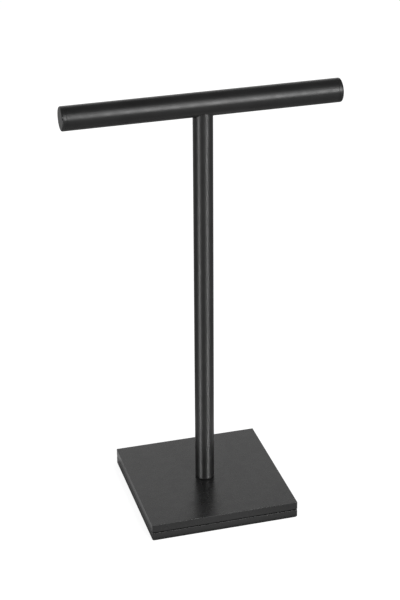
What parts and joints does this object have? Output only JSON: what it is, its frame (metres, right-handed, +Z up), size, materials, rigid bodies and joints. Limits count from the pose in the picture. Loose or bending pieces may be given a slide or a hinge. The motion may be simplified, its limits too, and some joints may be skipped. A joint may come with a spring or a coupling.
{
  "type": "freestanding towel stand",
  "caption": "Freestanding T-shaped towel stand: a round horizontal bar saddled across the top of a slim round post, on a heavy square base of stacked plates.",
  "frame": {"origin": "centre of the square base's underside, on the surface that the stand rests on", "axes": "+Z up along the post, +X along the towel bar to its right end, +Y to the back"},
  "size_m": [0.28, 0.156, 0.45],
  "materials": {
    "coated_tube": "satin black powder coat on steel tube",
    "coated_plate": "satin black powder coat on steel plate, fine texture",
    "black_rubber": "matte black rubber sheet",
    "turned_steel": "plain turned steel",
    "zinc_plated_steel": "bright zinc-plated steel"
  },
  "bodies": {
    "root": {"bar_tube": "coated_tube", "bar_end_cap_left": "coated_tube", "bar_end_cap_right": "coated_tube", "post_tube": "coated_tube", "upper_plate": "coated_plate", "lower_plate": "coated_plate", "foot_gasket": "black_rubber", "spacer_sheet": "black_rubber", "non_slip_pad": "black_rubber", "bar_thread_block": "turned_steel", "post_saddle_plug": "turned_steel", "post_foot_plug": "turned_steel", "locating_pin": "turned_steel", "tie_rod": "zinc_plated_steel", "tie_rod_nut": "zinc_plated_steel", "tie_rod_flat_washer": "zinc_plated_steel", "tie_rod_spring_washer": "zinc_plated_steel", "plate_screws": "zinc_plated_steel"}
  },
  "joints": []
}
